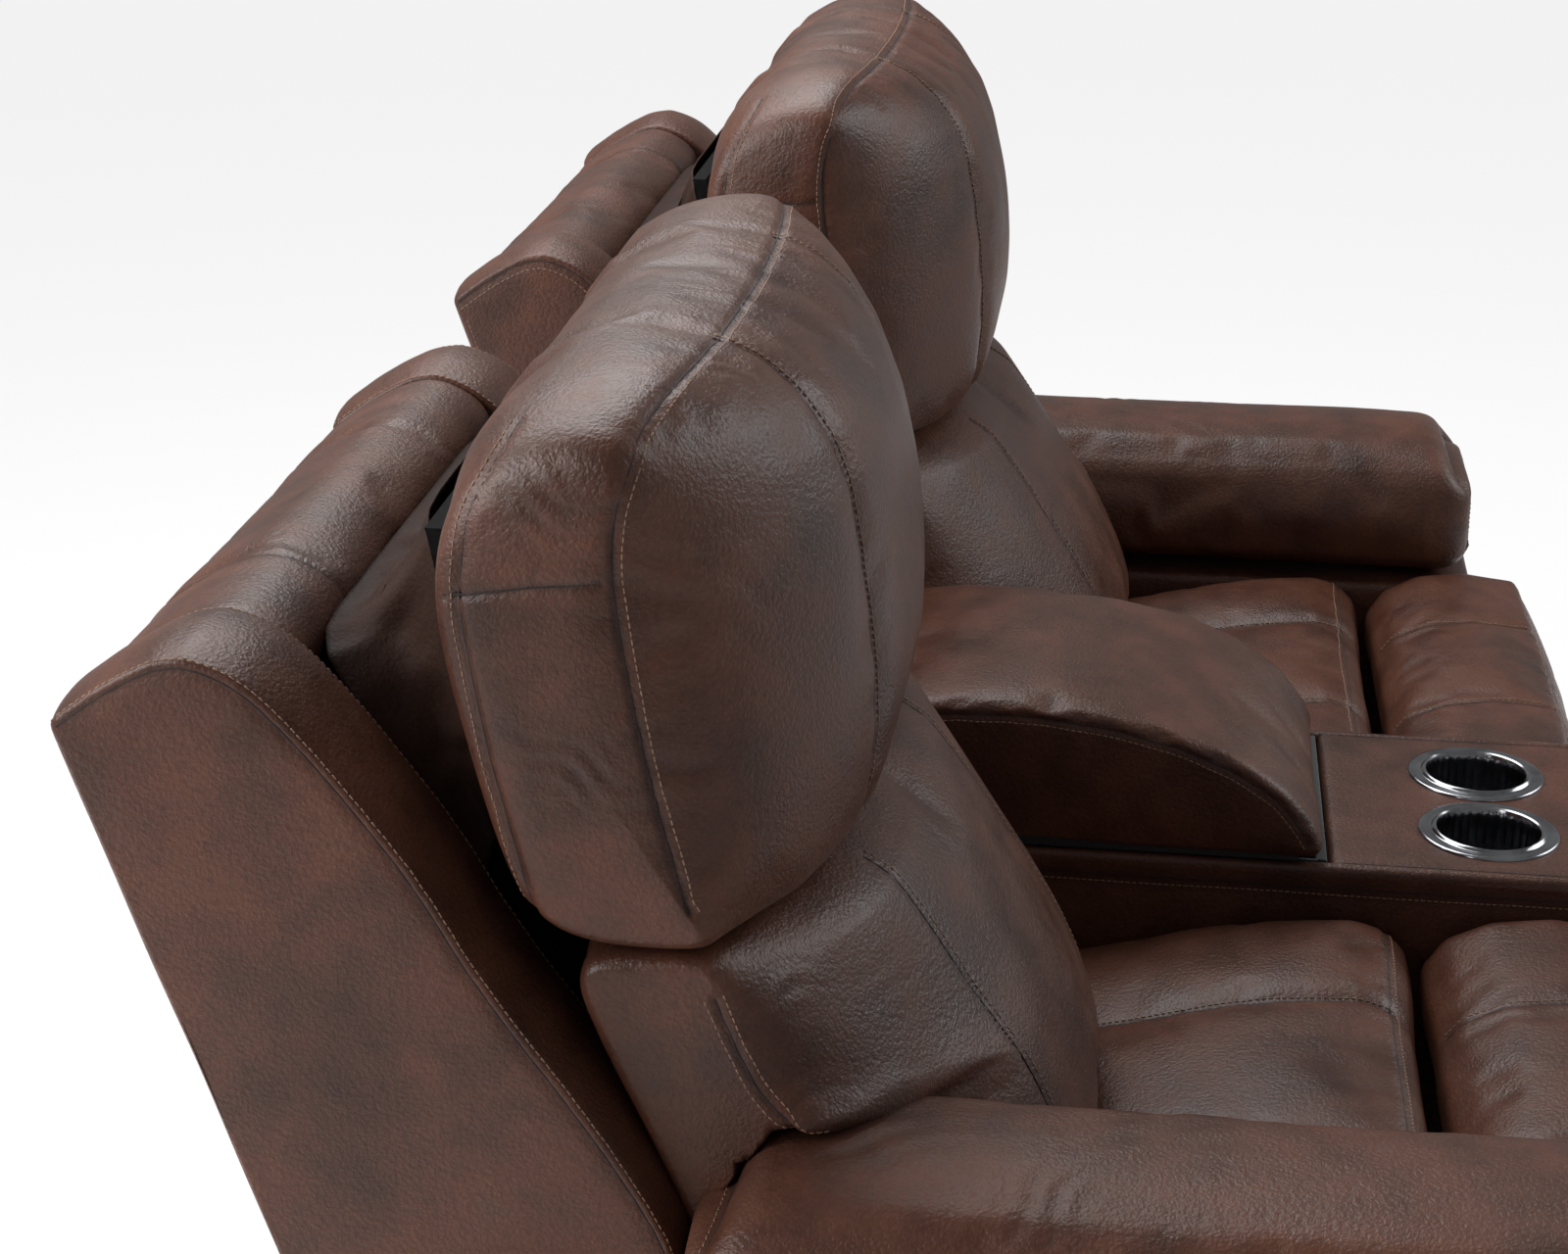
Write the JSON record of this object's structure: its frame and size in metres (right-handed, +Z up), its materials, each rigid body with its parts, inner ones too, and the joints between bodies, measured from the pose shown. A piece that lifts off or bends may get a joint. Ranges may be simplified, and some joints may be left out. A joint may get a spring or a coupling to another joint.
{
  "type": "power reclining loveseat",
  "caption": "Power reclining loveseat in padded leather, with tilting headrests, folding footrests, pillow arms and a console with a hinged lid and cup holders.",
  "frame": {"origin": "middle of the footprint, on the floor", "axes": "+X across the width towards the right-hand seat as seen from the front, -Y towards the front, +Z up"},
  "size_m": [1.8706, 1.066, 1.1405],
  "materials": {
    "leather": "satin, two-tone brown",
    "dark_leather": "soft matte, dark brown",
    "steel": "satin black",
    "satin_metal": "satin",
    "chrome": "dark polished",
    "wood": "raw plywood",
    "plastic": "moulded, black",
    "webbing": "woven elastic strap"
  },
  "bodies": {
    "base": {"base_rails": "steel", "feet": "plastic", "rear_panel": "leather", "power_inlet": "plastic", "power_supply": "plastic", "console_box": "leather", "console_deck": "leather", "left_cup_holder": "chrome", "right_cup_holder": "chrome", "lid_hinge_base": "steel", "left_arm_frame": "leather", "left_arm_pad": "leather", "left_switch_plate": "satin_metal", "left_recline_motor": "plastic", "left_side_plates": "steel", "right_arm_frame": "leather", "right_arm_pad": "leather", "right_switch_plate": "satin_metal", "right_recline_motor": "plastic", "right_side_plates": "steel"},
    "lid": {"lid_hinge_leaf": "steel", "lid_board": "wood", "lid_pad": "leather"},
    "left_seat": {"left_seat_box": "wood", "left_seat_webbing": "webbing", "left_seat_cushion": "leather", "left_drive_nut": "steel"},
    "left_upper_link": {"left_upper_links": "steel"},
    "left_lower_link": {"left_lower_links": "steel"},
    "left_footrest": {"left_footrest_board": "wood", "left_footrest_pad": "leather"},
    "left_back": {"left_back_frame": "wood", "left_back_shell": "leather", "left_lumbar_cushion": "leather", "left_headrest_motor": "plastic", "left_headrest_gusset": "dark_leather"},
    "left_headrest": {"left_headrest_frame": "steel", "left_headrest_cushion": "leather"},
    "left_pushrod": {"left_headrest_pushrod": "satin_metal"},
    "left_recline_switch": {"left_recline_rocker": "plastic"},
    "left_headrest_switch": {"left_headrest_rocker": "plastic"},
    "right_seat": {"right_seat_box": "wood", "right_seat_webbing": "webbing", "right_seat_cushion": "leather", "right_drive_nut": "steel"},
    "right_upper_link": {"right_upper_links": "steel"},
    "right_lower_link": {"right_lower_links": "steel"},
    "right_footrest": {"right_footrest_board": "wood", "right_footrest_pad": "leather"},
    "right_back": {"right_back_frame": "wood", "right_back_shell": "leather", "right_lumbar_cushion": "leather", "right_headrest_motor": "plastic", "right_headrest_gusset": "dark_leather"},
    "right_headrest": {"right_headrest_frame": "steel", "right_headrest_cushion": "leather"},
    "right_pushrod": {"right_headrest_pushrod": "satin_metal"},
    "right_recline_switch": {"right_recline_rocker": "plastic"},
    "right_headrest_switch": {"right_headrest_rocker": "plastic"}
  },
  "joints": [
    {"name": "lid_hinge", "type": "hinge", "parent": "base", "child": "lid", "pos_m": [0, 0.162, 0.5775], "axis": [-1, 0, 0], "range_deg": [0, 80]},
    {"name": "left_back_recline", "type": "hinge", "parent": "base", "child": "left_back", "pos_m": [-0.4215, 0.06, 0.4], "axis": [-1, 0, 0], "range_deg": [0, 35]},
    {"name": "left_seat_slide", "type": "slide", "parent": "base", "child": "left_seat", "axis": [0, -1, 0], "range_m": [0, 0.09]},
    {"name": "left_upper_link_swing", "type": "hinge", "parent": "left_seat", "child": "left_upper_link", "pos_m": [-0.4215, -0.235, 0.352], "axis": [-1, 0, 0], "range_deg": [0, 63]},
    {"name": "left_lower_link_swing", "type": "hinge", "parent": "left_upper_link", "child": "left_lower_link", "pos_m": [-0.4215, -0.27407, 0.13042], "axis": [-1, 0, 0], "range_deg": [-143.5, 0]},
    {"name": "left_footrest_tilt", "type": "hinge", "parent": "left_lower_link", "child": "left_footrest", "pos_m": [-0.4215, -0.31314, 0.352], "axis": [-1, 0, 0], "range_deg": [0, 168]},
    {"name": "left_headrest_tilt", "type": "hinge", "parent": "left_back", "child": "left_headrest", "pos_m": [-0.4215, 0.268, 0.8], "axis": [-1, 0, 0], "range_deg": [0, 22], "deforming": ["left_headrest_gusset"]},
    {"name": "left_headrest_push", "type": "slide", "parent": "left_back", "child": "left_pushrod", "axis": [0, 0.4067, 0.9135], "range_m": [-0.02, 0]},
    {"name": "left_recline_rock", "type": "hinge", "parent": "base", "child": "left_recline_switch", "pos_m": [-0.922, -0.295, 0.44], "axis": [0, 0, 1], "range_deg": [-8, 8], "stiffness_Nm_per_rad": 0.2},
    {"name": "left_headrest_rock", "type": "hinge", "parent": "base", "child": "left_headrest_switch", "pos_m": [-0.922, -0.245, 0.44], "axis": [0, 0, 1], "range_deg": [-8, 8], "stiffness_Nm_per_rad": 0.2},
    {"name": "right_back_recline", "type": "hinge", "parent": "base", "child": "right_back", "pos_m": [0.4215, 0.06, 0.4], "axis": [-1, 0, 0], "range_deg": [0, 35]},
    {"name": "right_seat_slide", "type": "slide", "parent": "base", "child": "right_seat", "axis": [0, -1, 0], "range_m": [0, 0.09]},
    {"name": "right_upper_link_swing", "type": "hinge", "parent": "right_seat", "child": "right_upper_link", "pos_m": [0.4215, -0.235, 0.352], "axis": [-1, 0, 0], "range_deg": [0, 63]},
    {"name": "right_lower_link_swing", "type": "hinge", "parent": "right_upper_link", "child": "right_lower_link", "pos_m": [0.4215, -0.27407, 0.13042], "axis": [-1, 0, 0], "range_deg": [-143.5, 0]},
    {"name": "right_footrest_tilt", "type": "hinge", "parent": "right_lower_link", "child": "right_footrest", "pos_m": [0.4215, -0.31314, 0.352], "axis": [-1, 0, 0], "range_deg": [0, 168]},
    {"name": "right_headrest_tilt", "type": "hinge", "parent": "right_back", "child": "right_headrest", "pos_m": [0.4215, 0.268, 0.8], "axis": [-1, 0, 0], "range_deg": [0, 22], "deforming": ["right_headrest_gusset"]},
    {"name": "right_headrest_push", "type": "slide", "parent": "right_back", "child": "right_pushrod", "axis": [0, 0.4067, 0.9135], "range_m": [-0.02, 0]},
    {"name": "right_recline_rock", "type": "hinge", "parent": "base", "child": "right_recline_switch", "pos_m": [0.922, -0.295, 0.44], "axis": [0, 0, 1], "range_deg": [-8, 8], "stiffness_Nm_per_rad": 0.2},
    {"name": "right_headrest_rock", "type": "hinge", "parent": "base", "child": "right_headrest_switch", "pos_m": [0.922, -0.245, 0.44], "axis": [0, 0, 1], "range_deg": [-8, 8], "stiffness_Nm_per_rad": 0.2}
  ],
  "couplings": [
    {"joint": "left_seat_slide", "follows": "left_back_recline", "m_per_rad": 0.14717},
    {"joint": "left_upper_link_swing", "follows": "left_back_recline", "ratio": 1.8},
    {"joint": "left_lower_link_swing", "follows": "left_back_recline", "ratio": -4.1},
    {"joint": "left_footrest_tilt", "follows": "left_back_recline", "ratio": 4.8},
    {"joint": "left_headrest_push", "follows": "left_headrest_tilt", "m_per_rad": -0.0513},
    {"joint": "right_seat_slide", "follows": "right_back_recline", "m_per_rad": 0.14717},
    {"joint": "right_upper_link_swing", "follows": "right_back_recline", "ratio": 1.8},
    {"joint": "right_lower_link_swing", "follows": "right_back_recline", "ratio": -4.1},
    {"joint": "right_footrest_tilt", "follows": "right_back_recline", "ratio": 4.8},
    {"joint": "right_headrest_push", "follows": "right_headrest_tilt", "m_per_rad": -0.0513}
  ]
}
